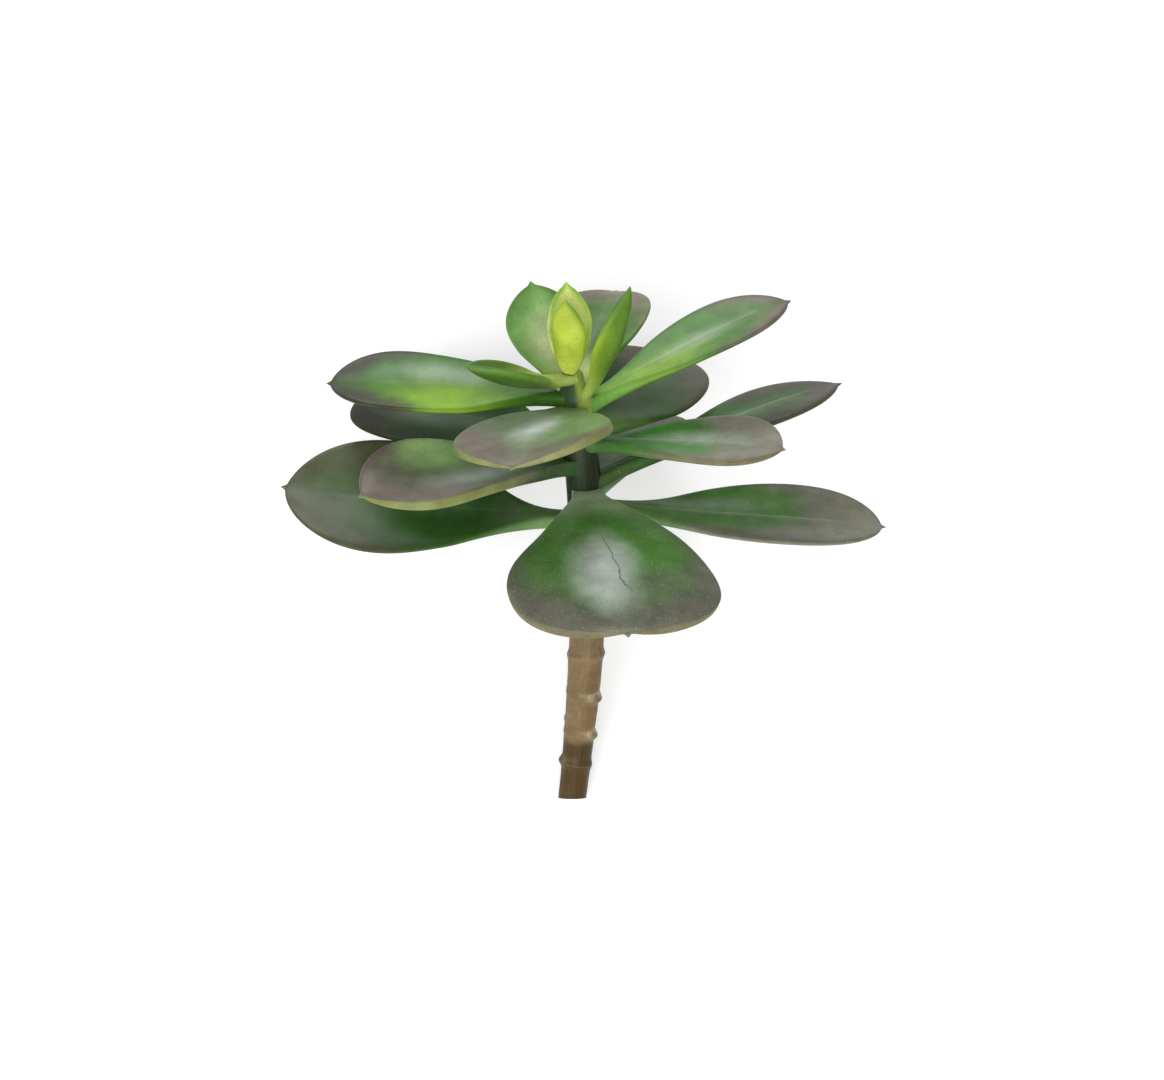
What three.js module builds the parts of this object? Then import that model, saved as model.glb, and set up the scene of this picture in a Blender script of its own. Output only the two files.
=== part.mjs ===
// A cut stem of a rosette succulent, lying as it rests on a table: one bare stem with a ring at each old
// leaf scar, and nineteen fleshy leaves round its upper third, from a lime bud at the tip to broad old leaves.
//
// The plant is modelled upright in its growing frame (Z up the stem from near its cut end, -Y its front),
// then laid down in one turned group, so that its cut end and two back leaves touch the plane Z = 0.
import * as THREE from "three";

// Driving dimensions, in millimetres.
const STEM_LENGTH = 157; // up to its tip, from Z = 0
const CUT_HEIGHT = -3.6; // of the cut's middle
const CUT_SLANT = 20; // degrees: the cut is lower at the back
const CUT_REACH = 5; // the slant has gone at this height
const CUT_RADIUS = 5.1; // at the cut end
const STEM_RADIUS = 6.1; // from mid stem upwards
const TIP_RADIUS = 3.4; // under the bud
const SWELL_HEIGHT = 55; // where the stem reaches its full radius
const TIP_TAPER = 10; // the stem narrows over this length below the bud
const BASE_GAP = 0.3; // between the stem's skin and a leaf's foot
const SCAR_HEIGHTS = [11, 23, 30, 38, 53, 68, 82, 95]; // the rings of the old leaf scars
const SCAR_PROUD = 0.9;
const SCAR_WIDTH = 1.3; // a ring has nearly gone at twice this from its crest
const STEM_BOW = 5.2; // how far the stem's middle stands to the right of its ends
const STEM_OFFSET = -3.2; // how far its ends stand to the right of the Z axis

// Shares of a leaf's length over which its shape settles, from the foot.
const THINNING = 0.45; // its thickness
const ROLLING = 0.4; // its blade's turn about the midrib
const CURLING = 0.35; // the rise of its margins
const TIP_ROUNDING = 9; // the power that closes the thickness at the tip
const SECTION_POWER = 0.8; // 1 is an ellipse, and less fills the section's corners

// The mesh: facets round and along a leaf, facets round the stem, and the plain heights between its rings.
const FACETS_ROUND = 14;
const FACETS_ALONG = 12;
const STEM_FACETS = 16;
const PLAIN_HEIGHTS = [CUT_HEIGHT, CUT_REACH, 110, 122, 134, 145, 149, 153, 155.5, STEM_LENGTH];
const MIDRIB_STEPS = 16;

// Three ages of leaf. petiole: width at the foot; foot and blade: thickness there.
const BUD = { petiole: 4.5, foot: 2.4, blade: 1.8, color: 0xb9cc4a };
const YOUNG = { petiole: 5.5, foot: 3.4, blade: 2.5, color: 0x5f9a3e };
const MATURE = { petiole: 7.2, foot: 5.2, blade: 3.6, color: 0x4a6b43 };

// One row for each leaf, from the bud down. height: of its foot on the stem. azimuth: the way it points,
// in degrees, 0 to the front, 90 to the right, 180 to the back. length and width: of the leaf laid flat.
// pitch: degrees above level at its foot and at its tip. roll: its blade's turn about its midrib.
// curl: how far its margins turn up, negative where it is domed. outline: [wedge, blunt], the powers that
// widen it from the foot and close it at the tip. foot: its distance from the stem's centre, if not the skin.
const LEAVES = [
  { name: "bud_leaf_front", age: BUD, height: 157.6, azimuth: -25, length: 26, width: 14,
    pitch: [66, 98], roll: 0, curl: 48, outline: [0.9, 0.7], foot: 1.8 },
  { name: "bud_leaf_back", age: BUD, height: 157.6, azimuth: -165, length: 29, width: 17.5,
    pitch: [66, 90], roll: 0, curl: 45, outline: [0.9, 0.7], foot: 2.2 },
  { name: "crown_leaf_back_left", age: YOUNG, height: 152.5, azimuth: -138, length: 36, width: 27,
    pitch: [46, 76], roll: -24, curl: 30, outline: [1.1, 0.7] },
  { name: "crown_leaf_right", age: YOUNG, height: 151, azimuth: 70, length: 40, width: 14,
    pitch: [58, 80], roll: -20, curl: 50, outline: [1.0, 0.8] },
  { name: "crown_leaf_back", age: YOUNG, height: 151, azimuth: 167, length: 64, width: 35,
    pitch: [26, 6], roll: 0, curl: 20, outline: [1.1, 0.6] },
  { name: "crown_leaf_front_left", age: YOUNG, height: 155, azimuth: -56, length: 41, width: 21,
    pitch: [-2, 34], roll: 0, curl: 60, outline: [1.3, 0.9] },
  { name: "upper_leaf_left", age: MATURE, height: 148, azimuth: -92, length: 78, width: 37,
    pitch: [4, 2], roll: -18, curl: 18, outline: [1.2, 0.6] },
  { name: "upper_leaf_right", age: MATURE, height: 146, azimuth: 108, length: 77, width: 32,
    pitch: [27, 18], roll: 10, curl: 20, outline: [1.6, 0.75] },
  { name: "upper_leaf_front", age: MATURE, height: 143.5, azimuth: -18, length: 60, width: 54,
    pitch: [8, -8], roll: 9, curl: 15, outline: [1.3, 0.6] },
  { name: "middle_leaf_back_right", age: MATURE, height: 133, azimuth: 153, length: 72, width: 48,
    pitch: [9, 6], roll: 12, curl: 20, outline: [0.9, 0.6] },
  { name: "middle_leaf_front_right", age: MATURE, height: 132, azimuth: 70, length: 66, width: 35,
    pitch: [6, 3], roll: 12, curl: 20, outline: [1.5, 0.6] },
  { name: "middle_leaf_back_left", age: MATURE, height: 131, azimuth: -119, length: 85, width: 50,
    pitch: [3, 1], roll: -12, curl: 8, outline: [1.3, 0.6] },
  { name: "middle_leaf_front_left", age: MATURE, height: 124.5, azimuth: -64, length: 75, width: 44,
    pitch: [5, -5], roll: -10, curl: 20, outline: [1.4, 0.6] },
  { name: "middle_leaf_back", age: MATURE, height: 121, azimuth: -152, length: 80, width: 44,
    pitch: [-4, -10], roll: 0, curl: 20, outline: [1.6, 0.6] },
  { name: "middle_leaf_right", age: MATURE, height: 118, azimuth: 112, length: 95, width: 33,
    pitch: [18, 11], roll: 0, curl: 8, outline: [2.4, 0.9] },
  { name: "lower_leaf_front", age: MATURE, height: 113.5, azimuth: 9, length: 84, width: 70,
    pitch: [0, -24], roll: 0, curl: -15, outline: [1.3, 0.5] },
  { name: "lower_leaf_back", age: MATURE, height: 110, azimuth: 165, length: 84, width: 44,
    pitch: [6, 0], roll: 0, curl: 20, outline: [1.6, 0.6] },
  { name: "lower_leaf_right", age: MATURE, height: 108, azimuth: 88, length: 97, width: 43,
    pitch: [-5, -2], roll: 10, curl: 18, outline: [1.5, 0.6] },
  { name: "lower_leaf_left", age: MATURE, height: 103.5, azimuth: -95, length: 100, width: 55,
    pitch: [0, 10], roll: -26, curl: 20, outline: [1.4, 0.65] },
];

// What the plant lies on: the cut end's rim and the two back leaves.
const CONTACTS = ["stem", "middle_leaf_back", "lower_leaf_back"];
const ROUGH_DOWN = new THREE.Vector3(0, 0.8, -0.6); // towards the table, in the growing frame
const NORMAL_ROUNDS = 12; // of finding the contacts again

// Roughness of the skins.
const BARK_ROUGHNESS = 0.55;
const LEAF_ROUGHNESS = 0.4;
const BARK_COLOR = 0x8a7350;

const { degToRad, smoothstep, lerp } = THREE.MathUtils;

function stemRadius(height) {
  const swell = lerp(CUT_RADIUS, STEM_RADIUS, smoothstep(height, 0, SWELL_HEIGHT));
  const taper = smoothstep(height, STEM_LENGTH - TIP_TAPER, STEM_LENGTH);
  return lerp(swell, TIP_RADIUS, taper);
}

// How far the stem's centre line stands to the right: half a sine wave from end to end.
function stemCentre(height) {
  return STEM_OFFSET + STEM_BOW * Math.sin((Math.PI * Math.min(height, STEM_LENGTH)) / STEM_LENGTH);
}

// How far the rings of the scars stand out at a height, each a bell of SCAR_WIDTH.
function ringProud(height) {
  let proud = 0;
  for (const scar of SCAR_HEIGHTS) {
    proud += SCAR_PROUD * Math.exp(-(((height - scar) / SCAR_WIDTH) ** 2));
  }
  return proud;
}

// The stem: a lathe of its radius with a ring at each scar, slanted at its cut and bent along its centre line.
function stemGeometry() {
  const heights = [...PLAIN_HEIGHTS];
  for (const scar of SCAR_HEIGHTS) {
    for (const step of [-2, -1, 0, 1, 2]) {
      heights.push(scar + step * SCAR_WIDTH);
    }
  }
  heights.sort((a, b) => a - b);
  const profile = [new THREE.Vector2(0, CUT_HEIGHT)];
  for (const height of heights) {
    profile.push(new THREE.Vector2(stemRadius(height) + ringProud(height), height));
  }
  profile.push(new THREE.Vector2(0, STEM_LENGTH));
  const geometry = new THREE.LatheGeometry(profile, STEM_FACETS);
  geometry.rotateX(Math.PI / 2); // the lathe turns about Y, and the stem grows along Z
  const position = geometry.attributes.position;
  for (let i = 0; i < position.count; i += 1) {
    const height = position.getZ(i);
    const slanting = Math.max(0, (CUT_REACH - height) / (CUT_REACH - CUT_HEIGHT));
    position.setX(i, position.getX(i) + stemCentre(height));
    position.setZ(i, height - Math.tan(degToRad(CUT_SLANT)) * position.getY(i) * slanting);
  }
  return geometry;
}

// The unit vector of a heading: azimuth round the stem and pitch above level, both in radians.
function heading(azimuth, pitch) {
  return new THREE.Vector3(
    Math.sin(azimuth) * Math.cos(pitch),
    -Math.cos(azimuth) * Math.cos(pitch),
    Math.sin(pitch),
  );
}

// A leaf's midrib is an arc of even curvature: at a share t of its length it has the mean heading so far.
function midribPoint(leaf, t) {
  const azimuth = degToRad(leaf.azimuth);
  const foot = (leaf.foot ?? stemRadius(leaf.height)) + BASE_GAP;
  const point = heading(azimuth, 0).multiplyScalar(foot);
  point.x += stemCentre(leaf.height);
  point.z += leaf.height;
  for (let i = 0; i < MIDRIB_STEPS; i += 1) {
    const pitch = degToRad(lerp(leaf.pitch[0], leaf.pitch[1], ((i + 0.5) / MIDRIB_STEPS) * t));
    point.addScaledVector(heading(azimuth, pitch), (leaf.length * t) / MIDRIB_STEPS);
  }
  return point;
}

// Half the leaf's width at t: (petiole / 2 + rise * t^wedge) * (1 - t)^blunt, with rise set by the full width.
function halfWidth(leaf, t) {
  const [wedge, blunt] = leaf.outline;
  const widest = wedge / (wedge + blunt);
  const petiole = leaf.age.petiole / 2;
  const rise = (leaf.width / 2 / (1 - widest) ** blunt - petiole) / widest ** wedge;
  return (petiole + rise * t ** wedge) * (1 - t) ** blunt;
}

// Half the leaf's thickness at t: the foot's, thinning to the blade's, rounded off at the tip.
function halfThickness(leaf, t) {
  const thickness = lerp(leaf.age.foot, leaf.age.blade, smoothstep(t, 0, THINNING));
  return (thickness / 2) * Math.sqrt(Math.max(0, 1 - t ** TIP_ROUNDING));
}

// The leaf: a sphere whose poles are its foot and its tip, each ring moved to the section at its t.
// A section is a thin rounded box, [across, through] from -1 to 1, bent to an arc by the curl.
function leafGeometry(leaf) {
  const geometry = new THREE.SphereGeometry(1, FACETS_ROUND, FACETS_ALONG);
  const position = geometry.attributes.position;
  const squared = (x) => Math.sign(x) * Math.abs(x) ** SECTION_POWER;
  const azimuth = degToRad(leaf.azimuth);
  for (let i = 0; i < position.count; i += 1) {
    const t = (1 - position.getY(i)) / 2;
    const ring = Math.sqrt(Math.max(0, 1 - position.getY(i) ** 2));
    const onPole = ring < 1e-3;
    const across = onPole ? 0 : squared(position.getX(i) / ring);
    const through = onPole ? 0 : squared(position.getZ(i) / ring);
    const pitch = degToRad(lerp(leaf.pitch[0], leaf.pitch[1], t));
    const forward = heading(azimuth, pitch);
    const level = new THREE.Vector3(Math.cos(azimuth), Math.sin(azimuth), 0);
    const roll = degToRad(leaf.roll) * smoothstep(t, 0, ROLLING);
    const side = level.applyAxisAngle(forward, roll);
    const above = forward.clone().cross(side);
    const bend = degToRad(leaf.curl) * smoothstep(t, 0, CURLING) * across;
    const width = halfWidth(leaf, t) * across;
    const depth = halfThickness(leaf, t) * through;
    const chord = Math.abs(bend) > 1e-6 ? (width / bend) * Math.sin(bend) : width;
    const sag = Math.abs(bend) > 1e-6 ? (width / bend) * (1 - Math.cos(bend)) : 0;
    const point = midribPoint(leaf, t)
      .addScaledVector(side, chord - depth * Math.sin(bend))
      .addScaledVector(above, sag + depth * Math.cos(bend));
    position.setXYZ(i, point.x, point.y, point.z);
  }
  return geometry;
}

function namedMesh(name, geometry, color, roughness) {
  const material = new THREE.MeshStandardMaterial({ color, roughness, metalness: 0 });
  const mesh = new THREE.Mesh(geometry, material);
  mesh.name = name;
  return mesh;
}

// The vertex of a mesh that lies farthest in a direction.
function farthest(mesh, direction) {
  const position = mesh.geometry.attributes.position;
  const best = new THREE.Vector3().fromBufferAttribute(position, 0);
  const point = new THREE.Vector3();
  for (let i = 1; i < position.count; i += 1) {
    point.fromBufferAttribute(position, i);
    if (point.dot(direction) > best.dot(direction)) best.copy(point);
  }
  return best;
}

// The table's normal in the growing frame: the plane through each contact's farthest point, found again
// with the new normal until it stays.
function tableNormal(meshes) {
  const down = ROUGH_DOWN.clone().normalize();
  for (let i = 0; i < NORMAL_ROUNDS; i += 1) {
    const [a, b, c] = meshes.map((mesh) => farthest(mesh, down));
    const normal = b.clone().sub(a).cross(c.clone().sub(a)).normalize();
    down.copy(normal.dot(down) < 0 ? normal.negate() : normal);
  }
  return down;
}

// Lays the upright plant on Z = 0, its stem running along +Y, centred on the origin.
function layDown(plant) {
  const contacts = CONTACTS.map((name) => plant.getObjectByName(name));
  const down = tableNormal(contacts);
  plant.quaternion.setFromUnitVectors(down, new THREE.Vector3(0, 0, -1));
  const stemWay = new THREE.Vector3(0, 0, 1).applyQuaternion(plant.quaternion);
  const resting = new THREE.Group();
  resting.add(plant);
  resting.rotation.z = Math.atan2(stemWay.x, stemWay.y);
  const box = new THREE.Box3().setFromObject(resting, true);
  const centre = box.getCenter(new THREE.Vector3());
  resting.position.set(-centre.x, -centre.y, -box.min.z);
  return resting;
}

const plant = new THREE.Group();
plant.add(namedMesh("stem", stemGeometry(), BARK_COLOR, BARK_ROUGHNESS));
for (const leaf of LEAVES) {
  plant.add(namedMesh(leaf.name, leafGeometry(leaf), leaf.age.color, LEAF_ROUGHNESS));
}

export default layDown(plant);
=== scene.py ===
# %% [markdown]
# # A cut rosette succulent
# This lesson makes the skin of a cut succulent stem: nineteen fleshy leaves round the top of a bare, ringed
# stem. The CAD model holds the plain solids, at their real size and lying as the cutting rests on a table.
# Here each solid gets a fine surface that stands where its solid does, and a finish that follows it. The
# script starts by loading that model, and keeps its box, so that the end can say how far the skin strays.

# %% The frame
import bpy
import numpy as np
from mathutils import Matrix, Vector


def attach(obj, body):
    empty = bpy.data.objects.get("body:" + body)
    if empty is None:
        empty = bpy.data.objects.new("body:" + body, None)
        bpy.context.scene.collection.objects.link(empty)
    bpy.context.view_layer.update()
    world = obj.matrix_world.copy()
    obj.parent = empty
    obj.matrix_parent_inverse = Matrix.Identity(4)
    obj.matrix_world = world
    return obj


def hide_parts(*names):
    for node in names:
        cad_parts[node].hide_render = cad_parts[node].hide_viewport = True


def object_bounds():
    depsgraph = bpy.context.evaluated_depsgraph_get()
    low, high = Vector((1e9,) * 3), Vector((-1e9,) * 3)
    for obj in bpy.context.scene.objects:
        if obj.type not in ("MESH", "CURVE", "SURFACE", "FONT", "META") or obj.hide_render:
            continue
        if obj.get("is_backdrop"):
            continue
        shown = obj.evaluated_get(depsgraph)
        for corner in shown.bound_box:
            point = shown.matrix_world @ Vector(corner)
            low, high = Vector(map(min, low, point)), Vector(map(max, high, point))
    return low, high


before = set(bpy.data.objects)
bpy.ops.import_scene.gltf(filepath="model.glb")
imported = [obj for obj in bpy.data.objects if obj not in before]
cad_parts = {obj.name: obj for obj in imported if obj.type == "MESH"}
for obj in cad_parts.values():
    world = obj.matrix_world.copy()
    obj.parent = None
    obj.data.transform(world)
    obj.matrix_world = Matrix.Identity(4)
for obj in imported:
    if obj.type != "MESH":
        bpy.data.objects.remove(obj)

CAD_BOX = [list(corner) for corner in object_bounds()]
print("solids:", len(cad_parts), "box in metres:", np.round(CAD_BOX, 4).tolist())

# %% [markdown]
# ## The growing frame
# A leaf is simplest to describe on an upright plant: how high its foot is, which way it points, how long and
# wide it is, and how its midrib rises or droops. So the plant is described in its growing frame, in
# millimetres: Z up the stem from near its cut end, the front towards -Y, and X to the right. The numbers are
# those that the solids were made from. Later the whole plant is laid down in one turn, which is found from
# the solids.

# %% Sizes of the plant
STEM_LENGTH = 157.0
CUT_HEIGHT, CUT_SLANT = -3.6, 20.0  # of the cut's middle, and in degrees: the cut is lower at the back
CUT_REACH = 5.0  # the slant has gone at this height
CUT_RADIUS, STEM_RADIUS, TIP_RADIUS = 5.1, 6.1, 3.4
SWELL_HEIGHT = 55.0  # where the stem reaches its full radius
TIP_TAPER = 10.0  # the stem narrows over this length below the bud
STEM_BOW, STEM_OFFSET = 5.2, -3.2  # how far right its middle is of its ends, and its ends of the Z axis
BASE_GAP = 0.3  # between the stem's skin and a leaf's foot, in the solids

# Three ages of leaf: the petiole's width, and the thickness at the foot and in the blade.
AGES = {
    "bud": dict(petiole=4.5, foot_thickness=2.4, blade=1.8),
    "young": dict(petiole=5.5, foot_thickness=3.4, blade=2.5),
    "mature": dict(petiole=7.2, foot_thickness=5.2, blade=3.6),
}


def leaf(name, age, height, azimuth, length, width, pitch, roll, curl, outline, foot=None):
    """One leaf. Azimuth 0 points to the front, 90 to the right. Pitch is its rise at the foot and at the tip.
    Roll turns the blade about its midrib, curl turns its margins up. Outline is (wedge, blunt). Foot, on a
    bud leaf, is how far its foot stands from the stem's line."""
    return dict(name=name, age=age, height=height, azimuth=azimuth, length=length, width=width, pitch=pitch,
                roll=roll, curl=curl, outline=outline, foot=foot, **AGES[age])


LEAVES = [
    leaf("bud_leaf_front", "bud", 157.6, -25, 26, 14, (66, 98), 0, 48, (0.9, 0.7), foot=1.8),
    leaf("bud_leaf_back", "bud", 157.6, -165, 29, 17.5, (66, 90), 0, 45, (0.9, 0.7), foot=2.2),
    leaf("crown_leaf_back_left", "young", 152.5, -138, 36, 27, (46, 76), -24, 30, (1.1, 0.7)),
    leaf("crown_leaf_right", "young", 151, 70, 40, 14, (58, 80), -20, 50, (1.0, 0.8)),
    leaf("crown_leaf_back", "young", 151, 167, 64, 35, (26, 6), 0, 20, (1.1, 0.6)),
    leaf("crown_leaf_front_left", "young", 155, -56, 41, 21, (-2, 34), 0, 60, (1.3, 0.9)),
    leaf("upper_leaf_left", "mature", 148, -92, 78, 37, (4, 2), -18, 18, (1.2, 0.6)),
    leaf("upper_leaf_right", "mature", 146, 108, 77, 32, (27, 18), 10, 20, (1.6, 0.75)),
    leaf("upper_leaf_front", "mature", 143.5, -18, 60, 54, (8, -8), 9, 15, (1.3, 0.6)),
    leaf("middle_leaf_back_right", "mature", 133, 153, 72, 48, (9, 6), 12, 20, (0.9, 0.6)),
    leaf("middle_leaf_front_right", "mature", 132, 70, 66, 35, (6, 3), 12, 20, (1.5, 0.6)),
    leaf("middle_leaf_back_left", "mature", 131, -119, 85, 50, (3, 1), -12, 8, (1.3, 0.6)),
    leaf("middle_leaf_front_left", "mature", 124.5, -64, 75, 44, (5, -5), -10, 20, (1.4, 0.6)),
    leaf("middle_leaf_back", "mature", 121, -152, 80, 44, (-4, -10), 0, 20, (1.6, 0.6)),
    leaf("middle_leaf_right", "mature", 118, 112, 95, 33, (18, 11), 0, 8, (2.4, 0.9)),
    leaf("lower_leaf_front", "mature", 113.5, 9, 84, 70, (0, -24), 0, -15, (1.3, 0.5)),
    leaf("lower_leaf_back", "mature", 110, 165, 84, 44, (6, 0), 0, 20, (1.6, 0.6)),
    leaf("lower_leaf_right", "mature", 108, 88, 97, 43, (-5, -2), 10, 18, (1.5, 0.6)),
    leaf("lower_leaf_left", "mature", 103.5, -95, 100, 55, (0, 10), -26, 20, (1.4, 0.65)),
]
print("leaves:", len(LEAVES), "longest:", max(row["length"] for row in LEAVES), "mm")

# %% [markdown]
# ## The stem's line and the leaf's formula
# A leaf is a surface of three numbers: along runs from 0 at the foot to 1 at the tip, across from -1 to 1
# between its margins, and through from -1 under the blade to 1 on its face. The midrib is an arc of even
# curvature, the outline is a product of two powers, and each section is bent to an arc so that the margins
# turn up. A formula was chosen over sculpting because the same few numbers then give the plain solid and the
# fine skin, and the two can't drift apart.

# %% The stem's line and radius


def smoothstep(x, low, high):
    """3s^2 - 2s^3, where s runs from 0 at low to 1 at high."""
    s = np.clip((x - low) / (high - low), 0, 1)
    return s * s * (3 - 2 * s)


def mix(a, b, share):
    """a at share 0, b at share 1."""
    return a + (b - a) * share


def bell(x, middle, width):
    """exp(-((x - middle) / width)^2): 1 at the middle, and nearly gone at twice the width."""
    return np.exp(-(((x - middle) / width) ** 2))


def stem_centre(height):
    """How far right of the Z axis the stem's line is: offset + bow * sin(pi * height / length)."""
    return STEM_OFFSET + STEM_BOW * np.sin(np.pi * np.minimum(height, STEM_LENGTH) / STEM_LENGTH)


def stem_radius(height):
    """The bare radius: it swells from the cut to SWELL_HEIGHT and narrows over TIP_TAPER under the bud."""
    swell = mix(CUT_RADIUS, STEM_RADIUS, smoothstep(height, 0, SWELL_HEIGHT))
    return mix(swell, TIP_RADIUS, smoothstep(height, STEM_LENGTH - TIP_TAPER, STEM_LENGTH))


print("stem centre at the cut, middle and tip:", np.round(stem_centre(STEM_LENGTH * np.array([0, 0.5, 1])), 2))

# %% The leaf's formula
MIDRIB_STEPS = 16


def heading(azimuth, pitch):
    """Unit vectors (sin a cos p, -cos a cos p, sin p)."""
    return np.stack([np.sin(azimuth) * np.cos(pitch), -np.cos(azimuth) * np.cos(pitch), np.sin(pitch)], -1)


def midrib(row, along):
    """The foot's place plus length * along * the mean heading from the foot to there."""
    azimuth = np.radians(row["azimuth"])
    radius = stem_radius(row["height"]) if row["foot"] is None else row["foot"]
    foot = heading(azimuth, 0.0) * (radius + BASE_GAP) + [stem_centre(row["height"]), 0, row["height"]]
    steps = (np.arange(MIDRIB_STEPS) + 0.5) / MIDRIB_STEPS
    pitch = np.radians(mix(*row["pitch"], steps * along[..., None]))
    return foot + heading(azimuth, pitch).mean(-2) * (row["length"] * along)[..., None]


def half_width(row, along):
    """(petiole / 2 + rise * t^wedge) * (1 - t)^blunt, where t is along. Rise is set so that this is width / 2
    at t = wedge / (wedge + blunt), near the widest place."""
    wedge, blunt = row["outline"]
    widest = wedge / (wedge + blunt)
    rise = (row["width"] / 2 / (1 - widest) ** blunt - row["petiole"] / 2) / widest**wedge
    return (row["petiole"] / 2 + rise * along**wedge) * (1 - along) ** blunt


def half_thickness(row, along):
    """The foot's, thinning to the blade's by 0.45 of the length, times sqrt(1 - t^9) to close the tip."""
    thickness = mix(row["foot_thickness"], row["blade"], smoothstep(along, 0, 0.45))
    return thickness / 2 * np.sqrt(np.maximum(0, 1 - along**9))


def axes(row, along):
    """The leaf's own directions at a place along it: forward, sideways and up through its face."""
    azimuth = np.radians(row["azimuth"])
    forward = heading(azimuth, np.radians(mix(*row["pitch"], along)))
    level = np.array([np.cos(azimuth), np.sin(azimuth), 0.0])
    roll = (np.radians(row["roll"]) * smoothstep(along, 0, 0.4))[..., None]
    side = level * np.cos(roll) + np.cross(forward, level) * np.sin(roll)
    return forward, side, np.cross(forward, side)


def blade(row, along, across, through, extra=0.0):
    """The leaf's surface: its section is bent to an arc, whose point at an angle b = curl * across is
    (w / b) * (sin b, 1 - cos b), and depth is measured square to the arc. Extra is added to the depth."""
    width = half_width(row, along) * across
    depth = half_thickness(row, along) * through + extra
    bend = np.radians(row["curl"]) * smoothstep(along, 0, 0.35) * across
    bend = np.where(np.abs(bend) > 1e-6, bend, 1e-6)
    sideways = width / bend * np.sin(bend) - depth * np.sin(bend)
    upwards = width / bend * (1 - np.cos(bend)) + depth * np.cos(bend)
    _, side, above = axes(row, along)
    return midrib(row, along) + side * sideways[..., None] + above * upwards[..., None]


# %% [markdown]
# ## Laying the plant down
# The solids already lie on the table, so the turn from the growing frame to theirs is measured from them.
# Each solid leaf is a sphere's grid moved to the formula, so the mean of its corners is known in both frames.
# The turn and shift that bring the nineteen means together, in the least-squares sense, lay the plant down.
# Its residual says whether the formula here is still the solids' own.

# %% The turn from the growing frame
FACETS_ROUND, FACETS_ALONG = 14, 12  # the solids' grid
SECTION_POWER = 0.8  # their section: 1 is an ellipse, and less fills its corners


def solid_corners(row):
    """The corners of a solid leaf: its two poles, and FACETS_ROUND places on each ring between them."""
    ring_angle, round_angle = np.meshgrid(np.pi * np.arange(1, FACETS_ALONG) / FACETS_ALONG,
                                          2 * np.pi * np.arange(FACETS_ROUND) / FACETS_ROUND, indexing="ij")
    circle = (-np.cos(round_angle), np.sin(round_angle))
    across, through = (np.sign(part) * np.abs(part) ** SECTION_POWER for part in circle)
    rings = blade(row, (1 - np.cos(ring_angle)) / 2, across, through).reshape(-1, 3)
    return np.vstack([rings, midrib(row, np.array([0.0, 1.0]))])


def node_corners(name):
    """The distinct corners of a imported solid, in metres."""
    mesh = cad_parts[name].data
    places = np.empty(len(mesh.vertices) * 3, np.float32)
    mesh.vertices.foreach_get("co", places)
    return np.unique(np.round(places.reshape(-1, 3), 6), axis=0)


growing = np.array([solid_corners(row).mean(0) for row in LEAVES]) / 1000
lying = np.array([node_corners(row["name"]).mean(0) for row in LEAVES])
u, _, vt = np.linalg.svd((growing - growing.mean(0)).T @ (lying - lying.mean(0)))
TURN = (u * [1, 1, np.sign(np.linalg.det(u @ vt))]) @ vt
SHIFT = lying.mean(0) - growing.mean(0) @ TURN


def lay_down(points):
    """Growing-frame millimetres to places on the table, in metres."""
    return points / 1000 @ TURN + SHIFT


RESIDUAL = np.abs(growing @ TURN + SHIFT - lying).max() * 1000
print("largest residual of a leaf's mean:", round(float(RESIDUAL), 4), "mm")
if RESIDUAL > 0.05:
    raise ValueError("the leaf table no longer matches the solids")

# %% [markdown]
# ## The camera
# The plant is seen from its front and from 20 degrees above the level of its leaves, as if it still stood.
# It lies down, so the camera turns with it, and looks down at the table. A long lens from 0.9 m keeps the
# near leaves from growing too large against the far ones.

# %% Camera
VIEW_HEIGHT = 20.0  # degrees above the leaves' level
VIEW_DISTANCE = 0.9
VIEW_WIDTH = 0.4074  # metres across the picture at the plant
TARGET = np.array([0.0, 0.0, 96.0])  # on the stem, in the growing frame


def camera_object():
    """A camera at VIEW_DISTANCE from the target, upright along the plant's stem."""
    lift = np.radians(VIEW_HEIGHT)
    back = np.array([0.0, -np.cos(lift), np.sin(lift)]) @ TURN
    right = np.array([1.0, 0.0, 0.0]) @ TURN
    data = bpy.data.cameras.new("camera")
    data.lens = data.sensor_width * VIEW_DISTANCE / VIEW_WIDTH
    data.clip_start, data.clip_end = 0.05, 20.0
    camera = bpy.data.objects.new("camera", data)
    placed = np.eye(4)
    placed[:3, 0], placed[:3, 1], placed[:3, 2] = right, np.cross(back, right), back
    placed[:3, 3] = lay_down(TARGET) + back * VIEW_DISTANCE
    camera.matrix_world = Matrix(placed)
    bpy.context.scene.collection.objects.link(camera)
    bpy.context.scene.camera = camera
    return camera


camera = camera_object()
print("camera at", np.round(camera.location, 3), "lens", round(camera.data.lens, 1), "mm")

# %% [markdown]
# ## A closed skin from a grid
# Every skin here is a grid of rings, from one end of the piece to the other, and its first and last rings are
# single points. Quads join ring to ring and a fan of triangles closes each end, so the skin is watertight
# with no doubles to merge. Numpy makes all the corner numbers at once. The grid also gives the piece a UV
# map, and each corner carries what the finishes need to know, such as how near the margin it is.

# %% From rings to a mesh


def grid_faces(rings, around):
    """Quads between the inner rings, then a fan at each end. The first and last corners are the ends."""
    start = 1 + np.arange(rings - 3)[:, None] * around
    here, after = np.arange(around)[None], (np.arange(around)[None] + 1) % around
    quads = np.stack([start + here, start + after, start + around + after, start + around + here], -1)
    last = 1 + (rings - 2) * around
    foot = np.stack([np.zeros(around, int), 1 + after[0], 1 + here[0]], -1)
    tip = np.stack([np.full(around, last), last - around + here[0], last - around + after[0]], -1)
    return quads.reshape(-1, 4), np.vstack([foot, tip])


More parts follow.
